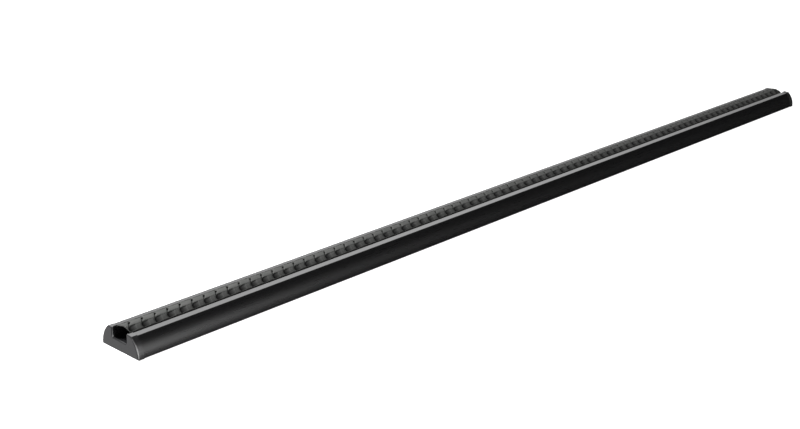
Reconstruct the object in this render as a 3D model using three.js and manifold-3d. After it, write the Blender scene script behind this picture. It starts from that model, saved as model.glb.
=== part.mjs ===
// Bed cargo bar: a D-profile aluminium cross bar with a T-channel along its top, a rubber infill strip in the
// channel and a moulded end cap on each end. Millimetres. X runs along the bar, Y across it, +Z is up, and the
// origin is on the underside at the middle of the bar.

import * as THREE from "three";
import { mergeVertices } from "three/addons/utils/BufferGeometryUtils.js";
import Module from "manifold-3d";

const wasm = await Module();
wasm.setup();

// Driving sizes
const LENGTH = 1727; // over both end caps
const TOUCH_GAP = 0.3; // between two pieces that touch

// The two D outlines. A cap is a little larger than the extrusion all round. lipCornerZ is where a round side meets
// its sloping lip, and lipEdgeZ is the top of the lip, at the channel's mouth.
const BAR_OUTLINE = { halfWidth: 37.5, sideRadius: 34.5, lipCornerZ: 28.4, lipEdgeZ: 29.4 };
const CAP_OUTLINE = { halfWidth: 38.3, sideRadius: 34.2, lipCornerZ: 29.3, lipEdgeZ: 30 };
const SIDE_CENTRE_Z = 2.4; // of the round sides
const BOTTOM_CORNER_RADIUS = 1;
const LIP_THICKNESS = 2.7;
const LIP_ROUNDING = 0.6;

// The channel and the cells under it
const MOUTH_HALF_WIDTH = 16.8; // between the lips
const CHANNEL_HALF_WIDTH = 21; // under the lips
const CHANNEL_FLOOR_Z = 13;
const CHANNEL_CORNER_RADIUS = 1.2;
const WALL = 2.5; // walls, webs and floor
const CELL_CORNER_RADIUS = 0.8;
const CENTRE_WEB = 2.4;

// End caps
const CAP_LENGTH = 9.7; // the part of a cap that stays outside the extrusion
const CAP_PLATE = 3; // the end wall, with a notch narrower than the channel behind it
const NOTCH_HALF_WIDTH = 15.2;
const NOTCH_FLOOR_Z = 15.6;
const NOTCH_CORNER_RADIUS = 3;
const FACE_ROUNDING = 2;
const TONGUE_LENGTH = 16;

// Infill strip
const STRIP_LENGTH = 1704;
const STRIP_START = 7.4; // from the left cap's outer face
const STRIP_CREST_Z = 34.5;
const STRIP_DOME_RADIUS = 29;
const STRIP_HALF_WIDTH = 16.1; // between the lips
const STRIP_SHOULDER_RADIUS = 1.2;
const STRIP_WALL = 1.8;
const STRIP_FOOT_HALF_WIDTH = 20.4; // hooks that catch under the lips
const STRIP_FOOT_HEIGHT = 2.4;
const STRIP_FOOT_DROP = 0.3; // under the lips

const RIM_LENGTH = LENGTH / 2 - CAP_LENGTH; // from the middle to a cap's inner edge
const EXTRUSION_LENGTH = 2 * (RIM_LENGTH - TOUCH_GAP);
const LIP_UNDERSIDE_Z = BAR_OUTLINE.lipEdgeZ - LIP_THICKNESS;

// Materials

const blackAluminium = new THREE.MeshStandardMaterial({ color: 0x17181a, roughness: 0.42, metalness: 0.6 });
const blackRubber = new THREE.MeshStandardMaterial({ color: 0x3a3b3c, roughness: 0.8, metalness: 0 });
const blackPlastic = new THREE.MeshStandardMaterial({ color: 0x2b2c2e, roughness: 0.6, metalness: 0 });

// Solids

// Turns a profile drawn in (y, z) and extruded along its own third axis so that it runs along +X from startX.
function alongX(profile, startX, length, extra = {}) {
  const settings = { depth: length, bevelEnabled: false, curveSegments: 10, ...extra };
  const geometry = new THREE.ExtrudeGeometry(profile, settings);
  const turn = new THREE.Matrix4().makeBasis(
    new THREE.Vector3(0, 1, 0),
    new THREE.Vector3(0, 0, 1),
    new THREE.Vector3(1, 0, 0),
  );
  return geometry.applyMatrix4(turn).translate(startX, 0, 0);
}

function solidOf(geometry) {
  const bare = geometry.index ? geometry.toNonIndexed() : geometry.clone();
  bare.deleteAttribute("normal");
  bare.deleteAttribute("uv");
  const merged = mergeVertices(bare, 1e-4);
  return new wasm.Manifold(
    new wasm.Mesh({
      numProp: 3,
      vertProperties: merged.attributes.position.array,
      triVerts: new Uint32Array(merged.index.array),
    }),
  );
}

function geometryOf(solid) {
  const { vertProperties, triVerts } = solid.getMesh();
  const geometry = new THREE.BufferGeometry();
  geometry.setAttribute("position", new THREE.BufferAttribute(vertProperties, 3));
  geometry.setIndex(new THREE.BufferAttribute(triVerts, 1));
  geometry.computeVertexNormals();
  return geometry;
}

function namedMesh(name, geometry, material) {
  const mesh = new THREE.Mesh(geometry, material.clone());
  mesh.name = name;
  return mesh;
}

// Profiles, each drawn in (y, z)

// A closed outline whose corners are rounded: each corner is [y, z, radius].
function roundedOutline(corners, Kind = THREE.Shape) {
  const outline = new Kind();
  const at = (i) => new THREE.Vector2(...corners[(i + corners.length) % corners.length].slice(0, 2));
  corners.forEach(([, , radius], i) => {
    const corner = at(i);
    const before = at(i - 1).sub(corner);
    const after = at(i + 1).sub(corner);
    const half = Math.acos(before.clone().normalize().dot(after.clone().normalize())) / 2;
    const reach = radius / Math.tan(half);
    const start = corner.clone().addScaledVector(before.normalize(), reach);
    const end = corner.clone().addScaledVector(after.normalize(), reach);
    if (i === 0) outline.moveTo(start.x, start.y);
    else outline.lineTo(start.x, start.y);
    if (radius > 0) outline.quadraticCurveTo(corner.x, corner.y, end.x, end.y);
  });
  outline.closePath();
  return outline;
}

// Points up a round side from low to high, on the side where y is positive.
function sideArc(radius, centreY, fromZ, toZ, steps) {
  const angle = (z) => Math.asin((z - SIDE_CENTRE_Z) / radius);
  return Array.from({ length: steps + 1 }, (_, i) => {
    const turn = THREE.MathUtils.lerp(angle(fromZ), angle(toZ), i / steps);
    return [centreY + radius * Math.cos(turn), SIDE_CENTRE_Z + radius * Math.sin(turn), 0];
  });
}

const mirrored = (corners) => corners.map(([y, z, radius]) => [-y, z, radius]).reverse();

// The right half of an outer D, from the underside up to the lip's edge, which is mouthY from the middle.
function halfD({ halfWidth, sideRadius, lipCornerZ, lipEdgeZ }, mouthY) {
  const arc = sideArc(sideRadius, halfWidth - sideRadius, SIDE_CENTRE_Z, lipCornerZ, 12);
  const lipCorner = arc.pop();
  return [
    [halfWidth, 0, BOTTOM_CORNER_RADIUS],
    ...arc,
    [lipCorner[0], lipCorner[1], LIP_ROUNDING],
    [mouthY, lipEdgeZ, LIP_ROUNDING],
  ];
}

function extrusionProfile() {
  const half = [
    ...halfD(BAR_OUTLINE, MOUTH_HALF_WIDTH),
    [MOUTH_HALF_WIDTH, LIP_UNDERSIDE_Z, 0.3],
    [CHANNEL_HALF_WIDTH, LIP_UNDERSIDE_Z, 0.3],
    [CHANNEL_HALF_WIDTH, CHANNEL_FLOOR_Z, CHANNEL_CORNER_RADIUS],
  ];
  const profile = roundedOutline([...half, ...mirrored(half)]);
  profile.holes = cellOutlines(0).map((corners) => roundedOutline(corners, THREE.Path));
  return profile;
}

// The four closed cells: one inside each round side and two under the channel. inset shrinks them.
function cellOutlines(inset) {
  const radius = BAR_OUTLINE.sideRadius - WALL - inset;
  const centreY = BAR_OUTLINE.halfWidth - BAR_OUTLINE.sideRadius;
  const wallY = CHANNEL_HALF_WIDTH + WALL + inset;
  const lowZ = WALL + inset;
  const topZ = SIDE_CENTRE_Z + Math.sqrt(radius ** 2 - (wallY - centreY) ** 2);
  const arc = sideArc(radius, centreY, lowZ, topZ, 8);
  const side = [[wallY, lowZ, CELL_CORNER_RADIUS], ...arc];
  const highZ = CHANNEL_FLOOR_Z - WALL - inset;
  const nearY = CENTRE_WEB / 2 + inset;
  const farY = CHANNEL_HALF_WIDTH - inset;
  const middle = [
    [nearY, lowZ, CELL_CORNER_RADIUS],
    [farY, lowZ, CELL_CORNER_RADIUS],
    [farY, highZ, CELL_CORNER_RADIUS],
    [nearY, highZ, CELL_CORNER_RADIUS],
  ];
  return [side, middle, mirrored(middle), mirrored(side)];
}

function stripProfile() {
  const domeCentreZ = STRIP_CREST_Z - STRIP_DOME_RADIUS;
  const footTop = LIP_UNDERSIDE_Z - STRIP_FOOT_DROP;
  const footBottom = footTop - STRIP_FOOT_HEIGHT;
  const dome = (radius, halfWidth, steps) => {
    const reach = Math.asin(halfWidth / radius);
    return Array.from({ length: steps + 1 }, (_, i) => {
      const turn = THREE.MathUtils.lerp(reach, -reach, i / steps);
      return [radius * Math.sin(turn), domeCentreZ + radius * Math.cos(turn), 0];
    });
  };
  const outer = dome(STRIP_DOME_RADIUS, STRIP_HALF_WIDTH, 16);
  outer[0][2] = STRIP_SHOULDER_RADIUS;
  outer[outer.length - 1][2] = STRIP_SHOULDER_RADIUS;
  const inner = dome(STRIP_DOME_RADIUS - STRIP_WALL, STRIP_HALF_WIDTH - STRIP_WALL, 12).reverse();
  const foot = [
    [STRIP_HALF_WIDTH - STRIP_WALL, footBottom, 0.3],
    [STRIP_FOOT_HALF_WIDTH, footBottom, 0.6],
    [STRIP_FOOT_HALF_WIDTH, footTop, 0.3],
    [STRIP_HALF_WIDTH, footTop, 0.3],
  ];
  return roundedOutline([...foot, ...outer, ...mirrored(foot), ...inner]);
}

// Pieces

function barExtrusion() {
  const geometry = alongX(extrusionProfile(), -EXTRUSION_LENGTH / 2, EXTRUSION_LENGTH);
  return namedMesh("bar_extrusion", geometry, blackAluminium);
}

function infillStrip() {
  const geometry = alongX(stripProfile(), STRIP_START - LENGTH / 2, STRIP_LENGTH);
  return namedMesh("top_infill_strip", geometry, blackRubber);
}

// A cap for the -X end. Its outer face and the notch through it have rounded edges.
function leftCapSolid() {
  const faceX = -LENGTH / 2;
  const half = [...halfD(CAP_OUTLINE, NOTCH_HALF_WIDTH), [NOTCH_HALF_WIDTH, NOTCH_FLOOR_Z, NOTCH_CORNER_RADIUS]];
  const outline = [...half, ...mirrored(half)];
  const roundFace = {
    bevelEnabled: true,
    bevelThickness: FACE_ROUNDING,
    bevelSize: FACE_ROUNDING,
    bevelOffset: -FACE_ROUNDING,
    bevelSegments: 4,
  };
  const faceStart = faceX + FACE_ROUNDING;
  const faced = solidOf(alongX(roundedOutline(squareCorners(outline)), faceStart, CAP_LENGTH, roundFace));
  const edged = solidOf(alongX(roundedOutline(outline), faceX, CAP_LENGTH));
  const behindPlate = [faceX + CAP_PLATE, faceX + CAP_LENGTH + 1];
  const pocket = slab(...behindPlate, CHANNEL_HALF_WIDTH, CHANNEL_FLOOR_Z, LIP_UNDERSIDE_Z);
  const mouth = slab(...behindPlate, MOUTH_HALF_WIDTH, LIP_UNDERSIDE_Z - 1, STRIP_CREST_Z);
  const tongueStart = faceX + CAP_LENGTH - 1;
  return cellOutlines(TOUCH_GAP)
    .map((corners) => solidOf(alongX(roundedOutline(corners), tongueStart, TONGUE_LENGTH + 1)))
    .reduce((cap, tongue) => cap.add(tongue), faced.intersect(edged).subtract(pocket).subtract(mouth));
}

// The same outline without its small roundings, which a bevel would fold over.
function squareCorners(corners) {
  return corners.map(([y, z, radius]) => [y, z, radius > FACE_ROUNDING ? radius : 0]);
}

// A block over the whole width, from one X to another and one Z to another.
function slab(fromX, toX, halfWidth, fromZ, toZ) {
  const box = new THREE.BoxGeometry(toX - fromX, 2 * halfWidth, toZ - fromZ);
  return solidOf(box.translate((fromX + toX) / 2, 0, (fromZ + toZ) / 2));
}

function endCap(name, turn) {
  const cap = namedMesh(name, geometryOf(leftCapSolid()), blackPlastic);
  cap.rotation.z = turn;
  return cap;
}

const cargoBar = new THREE.Group();
cargoBar.name = "bed_cargo_bar";
cargoBar.add(barExtrusion());
cargoBar.add(infillStrip());
cargoBar.add(endCap("left_end_cap", 0));
cargoBar.add(endCap("right_end_cap", Math.PI));

export default cargoBar;
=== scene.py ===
"""Looks for the bed cargo bar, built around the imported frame: a satin black extrusion, two grained
end caps and a rubber infill strip with an S-shaped tread, on a pale studio table. Metres, in the
frame's own axes: X along the bar, Y across it from front to rear, Z up."""

import math

import bmesh
import bpy
import numpy as np
from mathutils import Matrix, Vector

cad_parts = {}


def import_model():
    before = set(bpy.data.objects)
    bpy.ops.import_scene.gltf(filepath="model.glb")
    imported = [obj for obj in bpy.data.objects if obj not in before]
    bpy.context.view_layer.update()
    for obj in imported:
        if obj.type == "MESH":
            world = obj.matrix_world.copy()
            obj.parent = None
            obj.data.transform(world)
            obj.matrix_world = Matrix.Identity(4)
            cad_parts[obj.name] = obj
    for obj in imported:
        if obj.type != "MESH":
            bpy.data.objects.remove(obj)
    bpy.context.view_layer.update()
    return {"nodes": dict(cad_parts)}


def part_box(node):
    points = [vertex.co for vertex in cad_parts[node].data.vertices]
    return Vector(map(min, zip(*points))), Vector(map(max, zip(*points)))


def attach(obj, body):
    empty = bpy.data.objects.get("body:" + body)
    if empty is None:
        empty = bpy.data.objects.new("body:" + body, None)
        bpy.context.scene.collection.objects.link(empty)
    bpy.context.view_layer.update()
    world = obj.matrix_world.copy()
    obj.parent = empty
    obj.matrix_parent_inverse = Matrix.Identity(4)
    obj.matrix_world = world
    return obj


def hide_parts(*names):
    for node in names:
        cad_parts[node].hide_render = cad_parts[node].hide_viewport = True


MM = 0.001

# Camera, standing at the front left
CAMERA_PLACE = (-1.7392, -1.2906, 0.7437)
CAMERA_YAW = math.radians(42.706)
CAMERA_PITCH = math.radians(19.982)
CAMERA_ROLL = math.radians(0.733)
CAMERA_LENS = 59.379

# Tread of the infill strip, in millimetres. Grooves cross the strip in an S. They are deepest on the
# shoulders and in a pit behind the centre line. A recess lies beside each groove on each shoulder.
TREAD_PITCH = 20.333
TREAD_START = 8.9  # from the strip's left end to the middle of the first groove, on the centre line
CREST_RADIUS = 29
SWEEP = 6.8  # how far a groove leans along the bar on each side of the centre line
SWEEP_REACH = 14  # distance from the centre line where the lean is complete

GROOVE_DEPTH = 2.2
GROOVE_HALF_WIDTH = 2.2
GROOVE_SLIMMEST = 0.75  # share of the half width where the groove is shallow
GROOVE_WIDENING = 0.35  # and how much is added where it is deep
GROOVE_WALL = 0.8  # share of the half width that the groove's walls take
GROOVE_SHARE = 0.4  # share of the depth where the groove is shallow
REAR_GROOVE_SHARE = 0.2  # the same, behind REAR_GROOVE_FROM
REAR_GROOVE_FROM = 5
GROOVE_FADE = (13.4, 14.4)  # where a groove runs out towards the strip's long edges
DEEP_INSET = 2  # a groove gets deep this far past the start of the shoulder
DEEP_TO = 13.6
DEEP_RAMP = 2
PIT = (0.4, 5.2)  # the pit's place behind the centre line
PIT_RAMP = 1.6

RECESS_WIDTH = 10
RECESS_DEPTH = 1.5
RECESS_RISE = 0.5  # share of the depth by which the recess has risen on its far side
RECESS_WALL = 0.9
SHOULDER_FROM = 5  # from the centre line, on the front shoulder
REAR_SHIFT = 4.5  # how much further out the rear shoulder starts
SHOULDER_TO = 14
SHOULDER_RAMP = 1.2
SHOULDER_DROP = 0.45  # below the crown, outside the recesses
EDGE_DROP = 0.8  # along the strip's two long edges
EDGE_BAND = (13.8, 14.7)

# Points of the tread: distances from the centre line of the rows along the strip, and distances from
# the middle of a groove of the columns across it. Both lie closer together at the walls.
TREAD_EDGE = 14.6
TREAD_ROWS = [0, 0.4, 0.9, 1.5, 2.5, 3.8, 4.4, 4.8, 5.2, 5.6]
TREAD_ROWS += [6.5, 8, 9.5, 11, 12.3, 13.2, 13.6, 14, 14.3, TREAD_EDGE]
TREAD_COLUMNS = [-2.2, -1.4, -0.7, 0, 0.7, 1.4, 2.2, 5, 9.5, 10, 10.5]

# Section of the strip below the tread, in millimetres
SIDE_HALF_WIDTH = 15
SIDE_TOP_DROP = 3  # from the tread's edge down to the flat side
SIDE_SHOULDER = (14.9, 1.6)  # a point of the rounding between them, and its drop
STRIP_FOOT = 4.3  # how far a foot reaches out past the solid strip's side
STRIP_FOOT_HEIGHT = 2.4
FOOT_ROUNDING = 0.4
FOOT_TOP_ROUNDING = 0.3
WALL = 1.8  # from the crown to the arch under it, and from the solid strip's side inwards
ARCH_POINTS = 13

# Faces that meet at more than this stay a sharp edge
BAR_EDGE = math.radians(28)
CAP_EDGE = math.radians(32)
STRIP_EDGE = math.radians(50)
SAME_POINT = 1e-6  # metres

# Studio: soft patches of light in a dim room. Each has its azimuth and elevation, the angles from its
# middle where it starts to fade and is gone, and its strength.
ROOM_GLOW = 0.004
ROOM_PATCHES = [
    (50, 46, 14, 44, 2.45),
    (-97, 2, 13, 42, 6.8),
    (125, -25, 20, 50, 0.62),
    (-148, 2, 6, 16, 6.0),
    (-160, 30, 6, 18, 4.5),
]

# A soft light behind the left end, which reflections don't show
KEY_PLACE = (-1.8, 1.1, 1.0)
KEY_TARGET = (-0.6, 0, 0)
KEY_SIZE = (0.9, 0.9)
KEY_POWER = 290

TABLE_HALF_SIZE = 30
TABLE_GAP = 0.0002  # between the table and the underside of the bar

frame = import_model()


# Geometry helpers


def smooth_step(x, low, high):
    """0 below low, 1 above high, and a smooth ramp between them."""
    t = np.clip((x - low) / (high - low), 0, 1)
    return t * t * (3 - 2 * t)


def plateau(x, low, high, ramp):
    """1 between low and high, with ramps of that width centred on both."""
    rise = smooth_step(x, low - ramp / 2, low + ramp / 2)
    fall = smooth_step(x, high - ramp / 2, high + ramp / 2)
    return rise * (1 - fall)


def mesh_object(name, vertices, faces):
    mesh = bpy.data.meshes.new(name)
    mesh.from_pydata([tuple(v) for v in vertices], [], [tuple(f) for f in faces])
    mesh.validate()
    made = bpy.data.objects.new(name, mesh)
    bpy.context.scene.collection.objects.link(made)
    return made


def smooth_faces(obj):
    for polygon in obj.data.polygons:
        polygon.use_smooth = True


# Infill strip


def lean(y):
    """How far along the bar a groove lies at a distance y from the centre line."""
    return SWEEP * np.sin(np.clip(y / SWEEP_REACH, -1, 1) * math.pi / 2)


def tread_depth(t, y):
    """Depth of the tread below the crown, where t runs along the bar from the middle of a groove."""
    w = (t + TREAD_PITCH / 2) % TREAD_PITCH - TREAD_PITCH / 2
    out = np.abs(y)
    start = np.where(y < 0, SHOULDER_FROM, SHOULDER_FROM + REAR_SHIFT)

    on_shoulder = plateau(out, start + DEEP_INSET, DEEP_TO, DEEP_RAMP)
    deep = np.maximum(on_shoulder, plateau(y, *PIT, PIT_RAMP))
    reach = GROOVE_HALF_WIDTH * (GROOVE_SLIMMEST + GROOVE_WIDENING * deep)
    groove = smooth_step(1 - np.abs(w) / reach, 0, GROOVE_WALL) * (1 - smooth_step(out, *GROOVE_FADE))
    shallow = np.where(y < REAR_GROOVE_FROM, GROOVE_SHARE, REAR_GROOVE_SHARE)
    groove = GROOVE_DEPTH * groove * (shallow * (1 - deep) + deep)

    beside = np.where(y < 0, w, -w)
    floor = RECESS_DEPTH * (1 - RECESS_RISE * np.clip(beside / RECESS_WIDTH, 0, 1))
    pocket = floor * plateau(beside, 0, RECESS_WIDTH, RECESS_WALL)
    shoulder = plateau(out, start, SHOULDER_TO, SHOULDER_RAMP) * np.maximum(SHOULDER_DROP, pocket)
    return np.maximum(groove, shoulder) + EDGE_DROP * smooth_step(out, *EDGE_BAND)


def column_places(length):
    """Places of the columns along the whole strip and a little past both of its ends."""
    mirrored = [-w for w in TREAD_COLUMNS]
    local = sorted({round(w % TREAD_PITCH, 3) for w in TREAD_COLUMNS + mirrored})
    margin = SWEEP + TREAD_PITCH
    first = math.floor(-margin / TREAD_PITCH)
    last = math.ceil((length + margin) / TREAD_PITCH)
    return np.array([TREAD_START + k * TREAD_PITCH + w for k in range(first, last) for w in local])


def lower_section(centre_z, foot_bottom, foot_half):
    """The (y, z) points of the strip's sides, feet and hollow, from one edge of the tread to the other."""
    foot_top = foot_bottom + STRIP_FOOT_HEIGHT
    edge_z = centre_z + math.sqrt(CREST_RADIUS**2 - TREAD_EDGE**2)
    shoulder_y, shoulder_drop = SIDE_SHOULDER
    outer = [
        (shoulder_y, edge_z - shoulder_drop),
        (SIDE_HALF_WIDTH, edge_z - SIDE_TOP_DROP),
        (SIDE_HALF_WIDTH, foot_top),
        (foot_half - FOOT_TOP_ROUNDING, foot_top),
        (foot_half, foot_top - FOOT_ROUNDING),
        (foot_half, foot_bottom + FOOT_ROUNDING),
        (foot_half - FOOT_ROUNDING, foot_bottom),
    ]
    inner_half = foot_half - STRIP_FOOT - WALL
    inner_radius = CREST_RADIUS - WALL
    spring = math.asin(inner_half / inner_radius)
    turns = np.linspace(spring, -spring, ARCH_POINTS)
    arch = [(inner_radius * math.sin(a), centre_z + inner_radius * math.cos(a)) for a in turns]
    under = [(inner_half, foot_bottom), *arch, (-inner_half, foot_bottom)]
    return outer + under + [(-y, z) for y, z in reversed(outer)]


def infill_strip():
    low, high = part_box("top_infill_strip")
    length = (high.x - low.x) / MM
    centre_z = high.z / MM - CREST_RADIUS
    columns = column_places(length)

    rows = np.array(TREAD_ROWS)
    y_top = np.concatenate([-rows[:0:-1], rows])
    x_top = np.clip(columns[:, None] + lean(y_top)[None, :], 0, length)
    depth = tread_depth(x_top - lean(y_top)[None, :] - TREAD_START, y_top[None, :])
    z_top = centre_z + np.sqrt(CREST_RADIUS**2 - y_top**2)[None, :] - depth

    y_low, z_low = np.array(lower_section(centre_z, low.z / MM, high.y / MM), float).T
    x_low = np.clip(columns, 0, length)[:, None] + 0 * y_low[None, :]

    x = np.concatenate([x_top, x_low], 1)
    y = np.concatenate([y_top[None, :] + 0 * x_top, y_low[None, :] + 0 * x_low], 1)
    z = np.concatenate([z_top, z_low[None, :] + 0 * x_low], 1)
    points = np.stack([low.x / MM + x, y, z], -1).reshape(-1, 3) * MM
    strip = mesh_object("infill_strip_tread", points, tube_faces(*x.shape))
    weld(strip)
    # depth below the crown, which the rubber turns into painted shade
    store_depth_for_painted_shade(strip, centre_z)
    smooth_faces(strip)
    strip.data.set_sharp_from_angle(angle=STRIP_EDGE)
    strip.data.materials.append(rubber())
    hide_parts("top_infill_strip")
    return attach(strip, "strip")


def tube_faces(rings, count):
    """Faces of a closed tube whose rings each have count points, with its two ends."""
    faces = []
    for i in range(rings - 1):
        for j in range(count):
            k = (j + 1) % count
            faces.append((i * count + j, (i + 1) * count + j, (i + 1) * count + k, i * count + k))
    faces.append(tuple(reversed(range(count))))
    faces.append(tuple((rings - 1) * count + j for j in range(count)))
    return faces


def weld(obj):
    """Merges the points that fall together where the tread is cut off at the strip's ends."""
    work = bmesh.new()
    work.from_mesh(obj.data)
    bmesh.ops.remove_doubles(work, verts=work.verts, dist=SAME_POINT)
    bmesh.ops.recalc_face_normals(work, faces=work.faces)
    work.to_mesh(obj.data)
    work.free()


def store_depth_for_painted_shade(obj, centre_z):
    """Writes how deep each point lies in the tread, from 0 to 1, for the rubber's painted shade. Points on
    the strip's sides, feet and hollow lie far below the crown and get the darkest painted shade.
    """
    spots = np.array([v.co for v in obj.data.vertices]) / MM
    crown = centre_z + np.sqrt(np.maximum(CREST_RADIUS**2 - spots[:, 1] ** 2, 0))
    below = np.clip((crown - spots[:, 2]) / GROOVE_DEPTH, 0, 1)
    layer = obj.data.attributes.new("tread_depth", "FLOAT", "POINT")
    layer.data.foreach_set("value", below.astype(np.float32))


# Materials


class Shader:
    """A material's node tree, with short calls for the nodes that it needs."""

    def __init__(self, name):
        self.material = bpy.data.materials.new(name)
        self.material.use_nodes = True
        self.tree = self.material.node_tree
        self.surface = self.tree.nodes["Principled BSDF"]

    def node(self, kind, values=None, **settings):
        made = self.tree.nodes.new(kind)
        for key, value in settings.items():
            setattr(made, key, value)
        for key, value in (values or {}).items():
            made.inputs[key].default_value = value
        return made

    def link(self, output, target):
        self.tree.links.new(output, target)

    def feed(self, socket, output):
        self.link(output, self.surface.inputs[socket])

    def places(self, stretch=(1, 1, 1)):
        """Object coordinates in metres, scaled along each axis."""
        coordinates = self.node("ShaderNodeTexCoord")
        mapping = self.node("ShaderNodeMapping", {"Scale": stretch})
        self.link(coordinates.outputs["Object"], mapping.inputs["Vector"])
        return mapping.outputs["Vector"]

    def noise(self, scale, detail=4, stretch=(1, 1, 1), rough=0.55):
        made = self.node("ShaderNodeTexNoise", {"Scale": scale, "Detail": detail, "Roughness": rough})
        self.link(self.places(stretch), made.inputs["Vector"])
        return made.outputs["Fac"]

    def ramp(self, value, low, high, start=0.3, end=0.7):
        """A colour or number that goes from low to high as value goes from start to end."""
        made = self.node("ShaderNodeMapRange", {"From Min": start, "From Max": end})
        made.clamp = True
        self.link(value, made.inputs["Value"])
        if isinstance(low, (int, float)):
            made.inputs["To Min"].default_value = low
            made.inputs["To Max"].default_value = high
            return made.outputs["Result"]
        mix = self.node("ShaderNodeMix", data_type="RGBA")
        self.link(made.outputs["Result"], mix.inputs["Factor"])
        mix.inputs["A"].default_value = (*low, 1)
        mix.inputs["B"].default_value = (*high, 1)
        return mix.outputs["Result"]

    def bump(self, height, strength, distance):
        made = self.node("ShaderNodeBump", {"Strength": strength, "Distance": distance})
        self.link(height, made.inputs["Height"])
        self.feed("Normal", made.outputs["Normal"])

    def set(self, **values):
        """Sets constants on the surface's own sockets; _ stands for a space in a socket's name."""
        for key, value in values.items():
            self.surface.inputs[key.replace("_", " ")].default_value = value


def satin_black():
    """Extruded aluminium under a satin coating, with faint lines drawn along the bar."""
    shader = Shader("satin_black_aluminium")
    lines = shader.noise(scale=900, detail=3, stretch=(0.02, 1, 1))
    grain = shader.noise(scale=2600, detail=2)
    tone = shader.ramp(grain, low=(0.0016, 0.0016, 0.0018), high=(0.003, 0.003, 0.0032))
    shader.feed("Base Color", tone)
    shader.feed("Roughness", shader.ramp(lines, low=0.272, high=0.284))
    shader.bump(grain, strength=0.25, distance=0.00006)
    shader.set(IOR=1.8)
    return shader.material


def cap_plastic():
    """Moulded plastic with a fine grain and slightly uneven gloss."""
    shader = Shader("grained_plastic")
    grain = shader.noise(scale=1500, detail=4)
    cloud = shader.noise(scale=420, detail=3)
    tone = shader.ramp(cloud, low=(0.004, 0.004, 0.0044), high=(0.006, 0.006, 0.0064))
    shader.feed("Base Color", tone)
    shader.feed("Roughness", shader.ramp(cloud, low=0.28, high=0.34))
    shader.bump(grain, strength=0.35, distance=0.0002)
    shader.set(IOR=1.8)
    return shader.material


def rubber():
    """Matte rubber, with painted shade: darker the deeper it lies in the tread."""
    shader = Shader("tread_rubber_with_painted_shade")
    grain = shader.noise(scale=1800, detail=3)
    cloud = shader.noise(scale=90, detail=3, stretch=(0.4, 1, 1))
    tone = shader.ramp(cloud, low=(0.024, 0.025, 0.024), high=(0.033, 0.033, 0.032))
    # Painted shade: the colour is mixed towards near black the deeper a point lies below the crown, in the
    # grooves, recesses, pits and on the strip's sides and hollow.
    attribute = shader.node("ShaderNodeAttribute", attribute_name="tread_depth")
    depth = shader.ramp(attribute.outputs["Fac"], low=0.0, high=0.97, start=0.03, end=0.65)
    mix = shader.node("ShaderNodeMix", data_type="RGBA")
    shader.link(depth, mix.inputs["Factor"])
    shader.link(tone, mix.inputs["A"])
    # near black of the painted shade
    mix.inputs["B"].default_value = (0.002, 0.002, 0.002, 1)
    shader.feed("Base Color", mix.outputs["Result"])
    shader.feed("Roughness", shader.ramp(grain, low=0.55, high=0.7))
    shader.bump(grain, strength=0.3, distance=0.0001)
    shader.set(Specular_IOR_Level=0.03, Sheen_Weight=0.006, Sheen_Roughness=0.35)
    return shader.material


# Frame pieces


def dress(node, material, angle):
    """Gives a CAD piece its material, and smooth shading that keeps edges sharper than angle."""
    obj = frame["nodes"][node]
    obj.data.materials.clear()
    obj.data.materials.append(material)
    smooth_faces(obj)
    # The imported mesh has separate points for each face, so they are joined before the edges are split.
    obj.modifiers.new("weld", "WELD").merge_threshold = SAME_POINT
    split = obj.modifiers.new("split", "EDGE_SPLIT")
    split.split_angle = angle
    split.use_edge_sharp = False
    obj.modifiers.new("flat_faces_stay_flat", "WEIGHTED_NORMAL")


# Studio


def camera():
    data = bpy.data.cameras.new("camera")
    data.lens = CAMERA_LENS
    data.sensor_width = 36
    data.clip_start = 0.01
    data.clip_end = 100
    made = bpy.data.objects.new("camera", data)
    level = math.cos(CAMERA_PITCH)
    forward = Vector((level * math.cos(CAMERA_YAW), level * math.sin(CAMERA_YAW), -math.sin(CAMERA_PITCH)))
    flat_right = Vector((math.sin(CAMERA_YAW), -math.cos(CAMERA_YAW), 0))
    flat_up = flat_right.cross(forward)
    right = flat_right * math.cos(CAMERA_ROLL) + flat_up * math.sin(CAMERA_ROLL)
    up = flat_up * math.cos(CAMERA_ROLL) - flat_right * math.sin(CAMERA_ROLL)
    turn = Matrix((right, up, -forward)).transposed().to_4x4()
    made.matrix_world = Matrix.Translation(CAMERA_PLACE) @ turn
    bpy.context.scene.collection.objects.link(made)
    bpy.context.scene.camera = made


def area_light(name, place, target, size, power):
    data = bpy.data.lights.new(name, "AREA")
    data.shape = "RECTANGLE"
    data.size, data.size_y = size
    data.energy = power
    made = bpy.data.objects.new(name, data)
    made.location = place
    made.rotation_euler = (Vector(target) - Vector(place)).to_track_quat("-Z", "Y").to_euler()
    bpy.context.scene.collection.objects.link(made)
    return made


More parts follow.
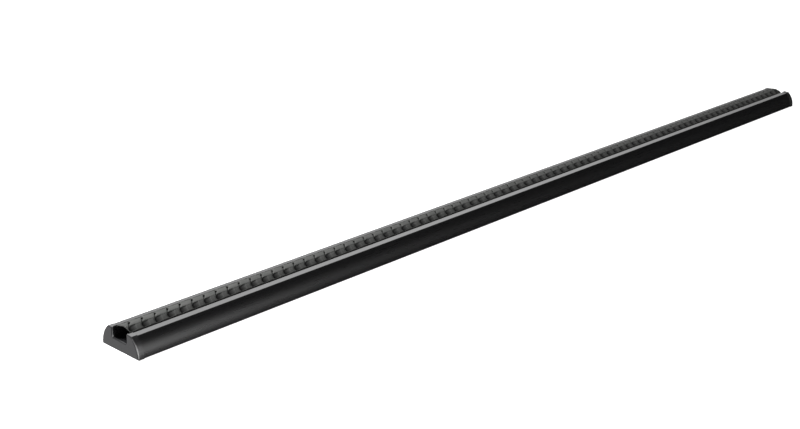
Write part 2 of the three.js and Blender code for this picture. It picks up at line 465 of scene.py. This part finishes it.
def table():
    """A pale table that glows, so that it stays white. Neither reflections nor the light that bounces
    onto the bar include it."""
    half = TABLE_HALF_SIZE
    corners = [(-half, -half, 0), (half, -half, 0), (half, half, 0), (-half, half, 0)]
    floor = mesh_object("table", corners, [(0, 1, 2, 3)])
    shader = Shader("pale_table")
    shader.set(Base_Color=(0.3, 0.3, 0.3, 1), Roughness=0.9)
    shader.set(Emission_Color=(1, 1, 1, 1), Emission_Strength=0.95)
    floor.data.materials.append(shader.material)
    floor.location.z = -TABLE_GAP
    floor.visible_glossy = False
    floor.visible_diffuse = False


def heading(azimuth, elevation):
    """A unit vector, from its angles in degrees: azimuth from +X towards +Y, elevation above the floor."""
    a, e = math.radians(azimuth), math.radians(elevation)
    return Vector((math.cos(e) * math.cos(a), math.cos(e) * math.sin(a), math.sin(e)))


def world():
    """A dim room with the soft bright patches of ROOM_PATCHES."""
    made = bpy.data.worlds.new("studio")
    made.use_nodes = True
    tree = made.node_tree
    direction = tree.nodes.new("ShaderNodeTexCoord").outputs["Generated"]
    total = None
    for azimuth, elevation, full, gone, strength in ROOM_PATCHES:
        closeness = tree.nodes.new("ShaderNodeVectorMath")
        closeness.operation = "DOT_PRODUCT"
        closeness.inputs[1].default_value = heading(azimuth, elevation)
        tree.links.new(direction, closeness.inputs[0])
        fade = tree.nodes.new("ShaderNodeMapRange")
        fade.interpolation_type = "SMOOTHSTEP"
        fade.inputs["From Min"].default_value = math.cos(math.radians(gone))
        fade.inputs["From Max"].default_value = math.cos(math.radians(full))
        fade.inputs["To Min"].default_value = 0 if total else ROOM_GLOW
        fade.inputs["To Max"].default_value = strength
        tree.links.new(closeness.outputs["Value"], fade.inputs["Value"])
        if total is None:
            total = fade.outputs["Result"]
            continue
        both = tree.nodes.new("ShaderNodeMath")
        tree.links.new(total, both.inputs[0])
        tree.links.new(fade.outputs["Result"], both.inputs[1])
        total = both.outputs["Value"]
    tree.links.new(total, tree.nodes["Background"].inputs["Strength"])
    tree.nodes["Background"].inputs["Color"].default_value = (1, 1, 1, 1)
    bpy.context.scene.world = made


camera()
table()
world()
key = area_light("left_key", KEY_PLACE, KEY_TARGET, KEY_SIZE, KEY_POWER)
key.visible_glossy = False
bpy.context.scene.view_settings.view_transform = "Standard"

dress("bar_extrusion", satin_black(), BAR_EDGE)
caps = cap_plastic()
for side in ("left", "right"):
    dress(f"{side}_end_cap", caps, CAP_EDGE)
infill_strip()
